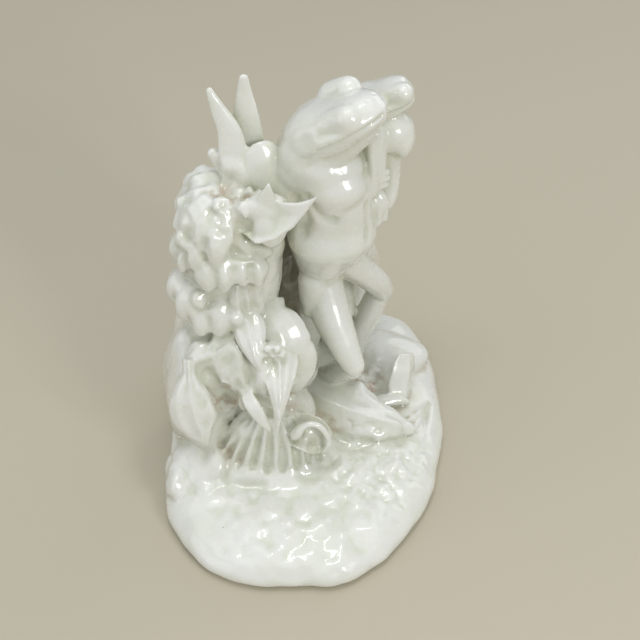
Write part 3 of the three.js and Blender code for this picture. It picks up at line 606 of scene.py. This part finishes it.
# the front frog, then the rear one. Trunk: level ovals. Eyes: along, across and above the head, radius, half
# length. Feet: ankle, heading, reach, spread
frontFrog = dict(
    trunk=[[6, 13, 70, 7, 7.5], [5.6, 12, 79, 8, 8.6], [6.6, 11, 85, 10.5, 10.5],
           [8.2, 10, 91, 13.4, 12.5], [9, 9, 98, 15.6, 14], [9.5, 10, 106, 15, 12.5],
           [8.5, 9.5, 114, 14.5, 12.5], [8, 10, 122, 14.5, 13], [6, 11, 131, 12.5, 13],
           [5, 12, 138, 11, 11]],
    head=dict(back=[1.2, 13.6, 134], snout=[25, 2, 152.5], top=[-0.52, 0.25, 0.82], broad=13.8, tall=11.5,
              deep=7, ledge=0.1, stations=skull,
              eyes=[[0.51, -6.6, 8.9, 5, 0.11], [0.62, 7.2, 4.4, 5.2, 0.14]]),
    bulges={
        "breast": [(9.5, 5, 121.5), (11.5, 9.3, 9), 0],
        "shoulder": [(-2.6, 8.5, 126), (7.5, 8, 9), 0],
        "collar": [(7, 8, 128), (13, 10, 9), 0],
    },
    limbs={
        "armToColumn": [[-3, 9, 128, 6], [-7, 6, 118, 5.2], [-10, 3, 110, 4.4], [-15, 0, 105, 3.6]],
        "armToFriend": [[17, 12, 124, 5.5], [24, 15, 117, 4.2], [27, 20, 113, 3.2]],
        "frontThigh": [[4.5, 11.5, 80, 7.4], [8.9, 3, 66, 7.2], [13.8, -4, 56, 5.6], [17.2, -8, 50, 4.2]],
        "frontShin": [[17, -6, 47, 4.4], [10, 6, 32, 4.2], [5, 15, 21, 3.6]],
        "rearThigh": [[12, 13, 84, 6.5], [20, 17, 74, 5.6], [26, 21, 65, 4.9], [28.6, 24, 58.5, 4.4]],
        "rearShin": [[27.6, 25, 57, 4.8], [24, 25, 46, 4.9], [20, 24, 35, 4.4], [18, 24, 24, 4]],
        "hip": [[3.4, 7, 78, 6.4], [2.2, 5, 71, 5], [1.4, 4, 67, 3.2]],
        "nape": [[3, 14.5, 139, 8], [-0.5, 13, 132, 8.6], [-2.5, 11, 125, 8]],
        "neckSide": [[2.6, 9, 139, 8.6], [0.2, 8.4, 132, 8.8], [-1.3, 8.8, 124, 8.4]],
        "throat": [[5, 10, 133, 10], [12, 8.5, 139, 8.4], [18.5, 6.5, 145, 6], [22.5, 4.5, 149.5, 3.6]],
    },
    feet=[[[4, 15, 20], -0.7, 15, 0.45]],
)
rearFrog = dict(
    trunk=[[13, 36, 62, 9, 9], [13, 35, 72, 11, 11], [14, 33, 84, 12.5, 12.5], [15, 30, 97, 12.5, 12],
           [18, 28, 109, 11.5, 11], [22, 27, 120, 10, 10], [25, 26, 130, 9.5, 9.5], [26, 26, 137, 8, 9]],
    head=dict(back=[13, 27.5, 133.5], snout=[35, 21.5, 145.6], top=[-0.32, 0.15, 1], broad=11.5, tall=8.6,
              deep=6, ledge=0.1, stations=bluntSkull,
              eyes=[[0.6, -4.6, 2.8, 4.6, 0.16], [0.88, 3.8, 3.6, 4, 0.1]]),
    bulges={
        "throat": [(28.5, 19.5, 134), (8, 8, 8), 0],
        "throatFront": [(32.2, 17.5, 131.5), (4.6, 5, 6.6), 0.05],
        "hand": [(25, 9.5, 110.5), (3.6, 3.4, 5.6), 0],
        "stickEnd": [(23.4, 10.4, 136.5), (1.8, 1.8, 2.2), 0],
    },
    limbs={
        "nearArm": [[27, 20, 126, 5.4], [28, 18, 117, 4.6], [27, 14, 109, 4.2], [24, 10, 108, 3]],
        "stick": [[21.5, 9.2, 136.5, 1.5], [22.2, 7.6, 127.4, 1.4], [22.8, 7.6, 116.5, 1.4]],
        "behindStick": [[22.5, 13, 137, 4.5], [23, 12, 128, 4.2], [22.5, 11, 117, 3.6]],
        "highFingerA": [[23.4, 8.5, 123.5, 1], [27.6, 11, 123, 1]],
        "highFingerB": [[23.4, 8.3, 121, 1], [27.8, 10.8, 120.6, 1]],
        "highFingerC": [[23.4, 8.2, 118.4, 1], [27.6, 10.5, 118, 1]],
        "lowFingerA": [[23, 7, 113, 1.3], [22.6, 6.6, 105, 1.2]],
        "lowFingerB": [[25.2, 7.4, 112, 1.3], [25, 7, 104, 1.2]],
        "lowFingerC": [[27.4, 8.6, 112, 1.3], [27.4, 8.2, 105, 1.2]],
        "farArm": [[12, 34, 120, 5.5], [2, 28, 110, 4.5], [-4, 18, 112, 3.4]],
        "nearThigh": [[10, 34, 68, 7.5], [12, 30, 58, 6.5], [14, 25, 48, 5]],
        "nearShin": [[14, 26, 48, 4.6], [12, 34, 34, 4.2], [8, 42, 22, 3.6]],
        "farThigh": [[17, 36, 68, 7.5], [21, 44, 60, 6.5], [24, 51, 50, 5]],
        "farShin": [[24, 51, 48, 4.6], [20, 50, 34, 4.2], [17, 51, 22, 3.6]],
    },
    feet=[[[6.5, 43, 19.5], 2.1, 14, 0.45], [[17, 51, 19], 0.9, 12, 0.45]],
)


def frogShapes():  # also keeps each head's frame for the carving
    shapes = []
    for frog in (frontFrog, rearFrog):
        headSkins, frog["spot"] = headShapes(frog["head"])
        shapes += [stack(frog["trunk"])] + headSkins + [limb(rows) for rows in frog["limbs"].values()]
        shapes += [boulder(*row) for row in frog["bulges"].values()]
        for row in frog["feet"]:
            shapes += footShapes(*row)
    return shapes


def meshFrom(name, spots, faces):  # a mesh from arrays of points and faces
    mesh = bpy.data.meshes.new(name)
    mesh.vertices.add(len(spots))
    mesh.vertices.foreach_set("co", np.asarray(spots, np.float32).ravel())
    mesh.loops.add(faces.size)
    mesh.loops.foreach_set("vertex_index", faces.astype(np.int32).ravel())
    mesh.polygons.add(len(faces))
    mesh.polygons.foreach_set("loop_start", np.arange(0, faces.size, faces.shape[1], dtype=np.int32))
    mesh.update(calc_edges=True)
    mesh.validate()
    return mesh


def settled(thing):  # the mesh with its modifiers worked in, in a new data block
    graph = bpy.context.evaluated_depsgraph_get()
    return bpy.data.meshes.new_from_object(thing.evaluated_get(graph))


def readMesh(mesh):  # points, triangles and edges
    spots = np.empty(len(mesh.vertices) * 3, np.float32)
    mesh.vertices.foreach_get("co", spots)
    mesh.calc_loop_triangles()
    faces = np.empty(len(mesh.loop_triangles) * 3, np.int32)
    mesh.loop_triangles.foreach_get("vertices", faces)
    edges = np.empty(len(mesh.edges) * 2, np.int32)
    mesh.edges.foreach_get("vertices", edges)
    return spots.reshape(-1, 3).astype(float), faces.reshape(-1, 3), edges.reshape(-1, 2)


def normalsOf(spots, faces):  # each vertex takes the sum of its faces' area normals
    a, b, c = spots[faces.T]
    flat = np.cross(b - a, c - a)
    sums = [sum(np.bincount(faces[:, k], flat[:, j], len(spots)) for k in range(3)) for j in range(3)]
    return unitRows(np.stack(sums, -1))


def meanBeside(spots, edges):  # the mean of each vertex's neighbours
    n = len(spots)
    a, b = edges[:, 0], edges[:, 1]
    count = np.maximum(np.bincount(a, minlength=n) + np.bincount(b, minlength=n), 1)[:, None]
    sums = [np.bincount(a, spots[b, j], n) + np.bincount(b, spots[a, j], n) for j in range(spots.shape[1])]
    return np.stack(sums, -1) / count


def relaxed(spots, edges, rounds, share=0.5):  # each vertex moves towards that mean by a share
    for _ in range(rounds):
        spots = spots + share * (meanBeside(spots, edges) - spots)
    return spots


# glaze pools in hollows: where that mean lies outside the skin the vertex moves there by a share, so creases
# fill into fillets while ridges stay crisp
def pooled(spots, faces, edges, rounds, share=0.8, renewEvery=5):
    for i in range(rounds):
        if i % renewEvery == 0:
            normals = normalsOf(spots, faces)
        pull = meanBeside(spots, edges) - spots
        spots = spots + share * pull * (np.sum(pull * normals, axis=1) > 0)[:, None]
    return spots


# presses a smooth path into the skin, or raises it where the depth is below zero: each vertex near it moves
# along its normal by the depth times a bell curve of its distance
def carve(spots, normals, rows, width, depth, per=14, widths=2.6):
    path = np.asarray(rows, float)
    if len(rows) > 1:
        path = through(rows, steps(rows, per))
    reach = widths * width
    close = np.where(np.all((spots > path.min(0) - reach) & (spots < path.max(0) + reach), axis=1))[0]
    gap = np.full(len(close), 1e9)
    for point in path:
        gap = np.minimum(gap, np.sum((spots[close] - point) ** 2, axis=1))
    spots[close] -= normals[close] * (depth * np.exp(-gap / width ** 2))[:, None]


def inside(spots, at, size):  # 1 in the inner third of an ellipsoid, fading to 0 at its surface
    far = np.linalg.norm((spots - np.array(at)) / np.array(size), axis=1)
    return wave(1.5 * (1 - far))


# relief as noise: middle and half sizes, grain, height, seed
roughPlaces = [
    [(-28, 4, 120), (17, 16, 17), 5.0, 1.7, 3],
    [(-28, 0, 112), (20, 20, 20), 2.4, 0.8, 4],
    [(-27, 3, 92), (30, 30, 36), 3.6, 0.55, 5],
    [(-24, -8, 48), (34, 34, 34), 4.6, 1.1, 6],
    [(-24, -8, 48), (34, 34, 34), 2.2, 0.35, 7],
    [(-20, 36, 50), (36, 30, 66), 7, 1.5, 15],
    [(-20, 36, 50), (36, 30, 66), 2.8, 0.4, 16],
    [(0, 0, 8), (80, 110, 22), 14.0, 1.5, 8],
    [(0, -20, 10), (70, 70, 22), 6.5, 1.2, 12],
    [(0, -45, 10), (60, 45, 20), 3.2, 0.4, 14],
    [(26, -22, 14), (36, 32, 16), 3.4, 0.9, 9],
    [(26, -22, 14), (34, 32, 16), 1.6, 0.3, 13],
    [(10, 20, 110), (60, 60, 90), 9.0, 0.35, 10],
]

# path, width, depth: creases of the front frog, then between the lumps of the crown
creases = [
    ([[-1, 0.5, 133.5], [7.6, -0.8, 133.2], [15.5, 2.5, 130.5]], 2.0, 0.45),
    ([[1, -0.5, 121], [3, -2.5, 116.5], [6, -3.4, 113.6], [9.5, -3.4, 112.6]], 1.9, 1.7),
    ([[9.5, -3.4, 112.6], [13, -2.5, 114.8], [18, 0, 118.5], [22, 3, 121]], 2.2, 0.5),
    ([[-2, 2, 119], [0, -1, 112], [-1, 1, 106]], 2.6, 1.6),
    ([[1, 3, 130], [2, 0, 123]], 1.4, 0.8),
    ([[21, 2, 116], [21.5, 1.5, 107], [20, 1, 99], [18, 1, 93], [14, 2, 87], [10, 3, 82]], 1.2, 1.0),
    ([[2, 3, 84], [9, 2, 80], [14, 3, 82]], 1.8, 0.35),
    ([[-22.5, -10.6, 118.5], [-19, -9.5, 113], [-15.5, -8.6, 108]], 2.2, 1.8),
    ([[-16.5, -9, 116.5], [-14, -7.6, 111]], 1.9, 1.6),
    ([[-27.5, -10.4, 114], [-23.5, -10.8, 107], [-18.5, -10.4, 101.4]], 1.8, 1.2),
]
# in the bowl leaf, the rock beside it and the leaf at the front foot
leafHollows = [
    ([[-28.7, -22, 64], [-29, -23, 57], [-28.5, -22, 48]], 4.2, 2),
    ([[-35, -20, 58], [-31.5, -22, 52], [-30, -22, 44]], 2, 2),
    ([[0.7, -28, 36.5], [3.2, -28, 32], [2.4, -28, 26.5]], 2.2, 2.0),
]
# grooves in the mound's right shoulder that fan out from the long leaf's tip
shoulder = {"first": [[38, -1, 14.4], [44, 4, 13.2], [48.5, 9, 11.4]], "count": 4, "wide": 1.2, "deep": 0.9,
            "step": [[2.2, -3, -0.6], [0.7, -2.5, -0.5], [-0.6, -2, -0.5]]}


def shoulderGrooves():  # the first one, moved on by a step for each
    first, step = np.array(shoulder["first"]), np.array(shoulder["step"])
    return [(first + i * step, shoulder["wide"], shoulder["deep"]) for i in range(shoulder["count"])]


# relief of a head: width and depth, and places as shares of its length, half breadth and height
face = {
    "mouth": (0.8, 1.1), "mouthRise": -0.3, "lip": (1.3, -0.25), "lipRise": 1.3,
    "hollow": (2.2, 0.7), "hollowAt": [(0.5, 0.95, 0.38), (0.8, 0.7, 0.36)],
    "ear": (3.2, 0.5), "earAt": (0.28, 1, 0.45),
    "nostril": (0.7, 0.6), "nostrilAt": (0.95, 2.4, 0.5),  # across in mm
    "lid": (1.0, 0.4), "lidLong": 1.1, "lidWide": 0.8, "lidUp": 0.5,
}


# mouth and lip follow the skull's breadth; the lids are ovals round the eyes
def carveHead(spots, normals, v, spot):
    def mark(name, path):
        carve(spots, normals, path, *face[name])

    for hand in (-1, 1):
        mark("mouth", [spot(f, hand * b * v["broad"], face["mouthRise"]) for f, b, _, _ in skull[3:]])
        mark("lip", [spot(f, hand * b * v["broad"], face["lipRise"]) for f, b, _, _ in skull[4:]])
        mark("hollow", [spot(f, hand * s * v["broad"], t * v["tall"]) for f, s, t in face["hollowAt"]])
        f, s, t = face["earAt"]
        mark("ear", [spot(f, hand * s * v["broad"], t * v["tall"])])
        f, s, t = face["nostrilAt"]
        mark("nostril", [spot(f, hand * s, t * v["tall"])])
    for f, s, t, r, half in v["eyes"]:
        mark("lid", [spot(f + face["lidLong"] * half * math.cos(a), s + face["lidWide"] * r * math.sin(a),
                          t + face["lidUp"] * r) for a in np.linspace(0, 2 * np.pi, 13)])


# noise along the normals, fading to the edge of its place; then creases and heads
def sculpted(spots, faces, edges):
    normals = normalsOf(spots, faces)
    for at, size, grain, rise, seed in roughPlaces:
        share = inside(spots, at, size)
        near = np.where(share > 0)[0]
        height = rise * share[near] * softNoise(spots[near], grain, seed)
        spots[near] += normals[near] * height[:, None]
    normals = normalsOf(relaxed(spots, edges, 2), faces)
    grooves = pleatGrooves() + petalGrooves() + budGrooves()
    for rows, width, depth in creases + grooves + leafHollows + shoulderGrooves():
        carve(spots, normals, rows, width, depth)
    for frog in (frontFrog, rearFrog):
        carveHead(spots, normals, frog["head"], frog["spot"])
    return spots


# rounds of smoothing are given before pooling and after carving
piece = {"voxel": 0.44, "soften": 3, "pooling": 9, "softenCarved": 2, "mostTriangles": 194000}


# all closed skins in one mesh, joined by a remesh on voxels
def rawGroup():
    shapes = [moundShape()] + rockShapes() + columnShapes() + leafShapes() + frogShapes()
    starts = np.cumsum([0] + [len(s) for s, _ in shapes])
    spots = np.vstack([s for s, _ in shapes])
    faces = np.vstack([f + start for (_, f), start in zip(shapes, starts)])
    print("forms laid out:", len(shapes), "closed skins,", len(faces), "triangles")
    body = stood("rawGroup", meshFrom("rawGroup", spots, faces))
    fuse = body.modifiers.new("fuse", "REMESH")
    fuse.mode, fuse.voxel_size = "VOXEL", piece["voxel"]
    mesh = settled(body)
    bpy.data.objects.remove(body)
    print("fused into one skin of", len(mesh.vertices), "vertices")
    return mesh


# the fused skin smoothed, pooled, carved, level at the foot, in metres and thinned
def finishedGroup():
    mesh = rawGroup()
    spots, faces, edges = readMesh(mesh)
    spots = pooled(relaxed(spots, edges, piece["soften"]), faces, edges, piece["pooling"])
    spots = relaxed(sculpted(spots, faces, edges), edges, piece["softenCarved"])
    spots[:, 2] = np.maximum(spots[:, 2], 0)
    print("relief carved")
    mesh.vertices.foreach_set("co", (spots * unit).astype(np.float32).ravel())
    body = stood("thinGroup", mesh)
    thin = body.modifiers.new("thin", "DECIMATE")
    thin.ratio = min(1, piece["mostTriangles"] / len(faces))
    final = settled(body)
    final.validate()  # drops the few faces that thinning has folded onto others
    bpy.data.objects.remove(body)
    print("thinned to", len(final.polygons), "faces")
    group = stood("glazedFrogGroup", final)
    final.polygons.foreach_set("use_smooth", np.ones(len(final.polygons), bool))
    return group


# the deep tone paints shade into closed-in places, and the darkest tone after dirt paints a shadow into the
# slit between the column and the frogs
glaze = {
    "white": (0.83, 0.838, 0.785), "pooled": (0.70, 0.735, 0.61), "deep": (0.60, 0.61, 0.48),
    "dirt": (0.42, 0.29, 0.2), "paintedShadowTone": (0.3, 0.28, 0.2), "baseRoughness": 0.26, "roughSwing": 0.06,
    "coat": 1.0, "coatRoughness": 0.035, "scatter": 0.12, "scatterTone": (1.0, 0.95, 0.8), "scatterReach": 2,
    # sizes of three noises, and the coat's ripple
    "cloud": 17, "grain": 4.5, "fine": 0.9, "rippleSize": 5.5, "ripple": 0.16, "rippleDeep": 0.6,
    # specks sit in a share of the cells
    "speckTone": (0.1, 0.075, 0.06), "speckCell": 5, "speckRadius": 0.045, "speckShare": 0.12, "speck": 0.7,
}
# where dirt has settled: middle, half sizes and strength
stains = [
    [(22, 14, 20), (14, 13, 9), 1.0], [(-24, -2, 121), (15, 9, 7), 0.6], [(-28, -22, 46), (10, 9, 10), 0.7],
    [(-6, -18, 44), (8, 8, 9), 0.9], [(8, -12, 22), (16, 9, 6), 0.5], [(48, 30, 10), (9, 30, 9), 0.35],
    [(-30, -27, 20), (10, 8, 8), 0.5], [(40, 2, 14), (10, 14, 5), 0.4],
]
# where a shadow is painted into the hollow between the column and the frogs: middle and half sizes
paintedShadowPlaces = [[(-7, 22, 70), (10, 11, 38)], [(-8, 12, 62), (6, 8, 16)]]
# how fine hollows and closed-in places, which get painted shade, are told
marks = {"hollowRounds": 12, "hollowDeep": 0.5, "reaches": (3, 8), "shares": (0.45, 0.55), "open": 1.3,
         "range": 4, "softenClosed": 4}


# how closed in a vertex lies: the skin's area is summed in cells and blurred, then read one reach above the
# skin, and divided by what a flat skin alone gives there
def sheltered(spots, normals, areas, reach, blurs=4, carried=0.0297):
    cell = reach / 3
    low = spots.min(0) - 2 * reach
    count = np.ceil((spots.max(0) + 2 * reach - low) / cell).astype(int)
    grid = np.zeros(count)
    np.add.at(grid, tuple(((spots - low) / cell).astype(int).T), areas)
    for axis in range(3):
        for _ in range(blurs):
            grid = (np.roll(grid, 1, axis) + 2 * grid + np.roll(grid, -1, axis)) / 4
    flat = cell ** 2 * carried  # the blur carries this share of it three cells up
    at = np.clip(((spots + normals * reach - low) / cell).astype(int), 0, count - 1)
    return grid[tuple(at.T)] / flat


# four numbers kept on the skin for the material: fine hollows, closed-in places for painted shade, stains,
# and a shadow painted into the slit
def addAttributes(mesh):
    spots, faces, edges = readMesh(mesh)
    spots = spots / unit
    a, b, c = spots[faces.T]
    share = np.linalg.norm(np.cross(b - a, c - a), axis=1) / 6
    areas = sum(np.bincount(faces[:, k], share, len(spots)) for k in range(3))
    normals = normalsOf(spots, faces)
    pull = np.sum((relaxed(spots, edges, marks["hollowRounds"]) - spots) * normals, axis=1)
    hollow = wave(0.5 + pull / marks["hollowDeep"])
    # how closed in each vertex lies; the material paints shade there
    closed = sum(part * wave((sheltered(spots, normals, areas, reach) - marks["open"]) / marks["range"])
                 for reach, part in zip(marks["reaches"], marks["shares"]))
    shade = relaxed(closed[:, None], edges, marks["softenClosed"])[:, 0]
    stain = np.zeros(len(spots))
    for at, size, strength in stains:
        stain = np.maximum(stain, strength * inside(spots, at, size))
    # painted shadow in the slit between the column and the frogs
    paintedShadow = np.zeros(len(spots))
    for at, size in paintedShadowPlaces:
        paintedShadow = np.maximum(paintedShadow, wave(2 * inside(spots, at, size)))
    for name, values in (("hollow", hollow), ("closedInShade", shade), ("stain", stain), ("paintedShadow", paintedShadow)):
        mesh.attributes.new(name, "FLOAT", "POINT").data.foreach_set("value", values.astype(np.float32))


# white turns to the pooled tone in clouds and hollows, to the deep tone as painted shade where closed in,
# then to dirt, a painted shadow in the slit, and specks; noise ripples base and coat
def glazeMaterial():
    v = glaze
    material = bpy.data.materials.new("whiteGlaze")
    material.use_nodes = True
    tree = material.node_tree
    shader = tree.nodes["Principled BSDF"]
    for name, value in (("Coat Weight", v["coat"]), ("Coat Roughness", v["coatRoughness"]),
                        ("Subsurface Weight", v["scatter"]), ("Subsurface Radius", v["scatterTone"]),
                        ("Subsurface Scale", v["scatterReach"] * unit)):
        shader.inputs[name].default_value = value

    def node(kind, **settings):
        new = tree.nodes.new("ShaderNode" + kind)
        for key, value in settings.items():
            setattr(new, key, value)
        return new

    def link(source, socket):  # a number, a colour or another node's output
        if isinstance(source, (int, float)):
            socket.default_value = source
        elif isinstance(source, tuple):
            socket.default_value = (*source, 1)
        else:
            tree.links.new(source, socket)

    def attribute(name):
        return node("Attribute", attribute_name=name).outputs["Fac"]

    def noise(size, detail=3.0):  # size of the grain in mm
        new = node("TexNoise")
        link(node("TexCoord").outputs["Object"], new.inputs["Vector"])
        link(1 / (size * unit), new.inputs["Scale"])
        link(detail, new.inputs["Detail"])
        return new.outputs["Fac"]

    def math2(how, a, b):  # kept between 0 and 1, except a difference
        new = node("Math", operation=how, use_clamp=how != "SUBTRACT")
        link(a, new.inputs[0])
        link(b, new.inputs[1])
        return new.outputs[0]

    def times(a, b):
        return math2("MULTIPLY", a, b)

    def span(source, low, high, toLow=0.0, toHigh=1.0):
        new = node("MapRange")
        for value, socket in zip((source, low, high, toLow, toHigh), new.inputs[:5]):
            link(value, socket)
        return new.outputs[0]

    def blend(share, a, b):
        new = node("Mix", data_type="RGBA")
        link(share, new.inputs["Factor"])
        link(a, new.inputs[6])
        link(b, new.inputs[7])
        return new.outputs[2]

    cloud, grain, fine = noise(v["cloud"]), noise(v["grain"]), noise(v["fine"])
    hollow, shade, stain = attribute("hollow"), attribute("closedInShade"), attribute("stain")
    tone = blend(times(span(cloud, 0.42, 0.62), 0.3), v["white"], v["pooled"])
    tone = blend(times(span(hollow, 0.5, 0.95), 0.75), tone, v["pooled"])
    # painted shade: closed-in places darken towards the deep tone
    tone = blend(times(shade, span(grain, 0.3, 0.7, 0.5, 0.85)), tone, v["deep"])
    dirty = times(times(stain, span(grain, 0.4, 0.6)),
                  math2("ADD", span(hollow, 0.45, 0.8), shade))
    tone = blend(dirty, tone, v["dirt"])
    # painted shadow: the slit between the column and the frogs darkens towards the darkest tone
    tone = blend(times(attribute("paintedShadow"), 0.96), tone, v["paintedShadowTone"])
    cells = node("TexVoronoi")
    link(node("TexCoord").outputs["Object"], cells.inputs["Vector"])
    link(1 / (v["speckCell"] * unit), cells.inputs["Scale"])
    pick = node("SeparateColor")
    link(cells.outputs["Color"], pick.inputs[0])
    speck = times(math2("LESS_THAN", cells.outputs["Distance"], v["speckRadius"]),
                  math2("LESS_THAN", pick.outputs[0], v["speckShare"]))
    tone = blend(times(speck, v["speck"]), tone, v["speckTone"])
    link(tone, shader.inputs["Base Color"])
    low, high = v["baseRoughness"] - v["roughSwing"], v["baseRoughness"] + v["roughSwing"]
    rough = math2("ADD", span(grain, 0.3, 0.7, low, high), times(dirty, 0.4))
    link(rough, shader.inputs["Roughness"])
    ripple = math2("ADD", times(noise(v["rippleSize"], 1.0), 0.8), times(fine, 0.12))
    ripple = math2("SUBTRACT", ripple, times(speck, 0.5))
    bump = node("Bump")
    link(v["ripple"], bump.inputs["Strength"])
    link(v["rippleDeep"] * unit, bump.inputs["Distance"])
    link(ripple, bump.inputs["Height"])
    link(bump.outputs["Normal"], shader.inputs["Normal"])
    link(bump.outputs["Normal"], shader.inputs["Coat Normal"])
    return material


def makeFloor():  # one square, a hair below the group
    half = look["floorHalf"]
    spots = np.array([[-half, -half, 0], [half, -half, 0], [half, half, 0], [-half, half, 0]])
    floor = stood("paleFloor", meshFrom("paleFloor", spots, np.array([[0, 1, 2, 3]])))
    floor.location.z = -look["floorDrop"]
    material = bpy.data.materials.new("paleFloor")
    material.use_nodes = True
    shader = material.node_tree.nodes["Principled BSDF"]
    shader.inputs["Base Color"].default_value = (*look["floorTone"], 1)
    shader.inputs["Roughness"].default_value = look["floorRough"]
    floor.data.materials.append(material)


makeFloor()
group = finishedGroup()
addAttributes(group.data)
print("hollows, closed-in places and stains marked")
group.data.materials.append(glazeMaterial())
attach(group, "root")
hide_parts("figure_group")
print("group in place")
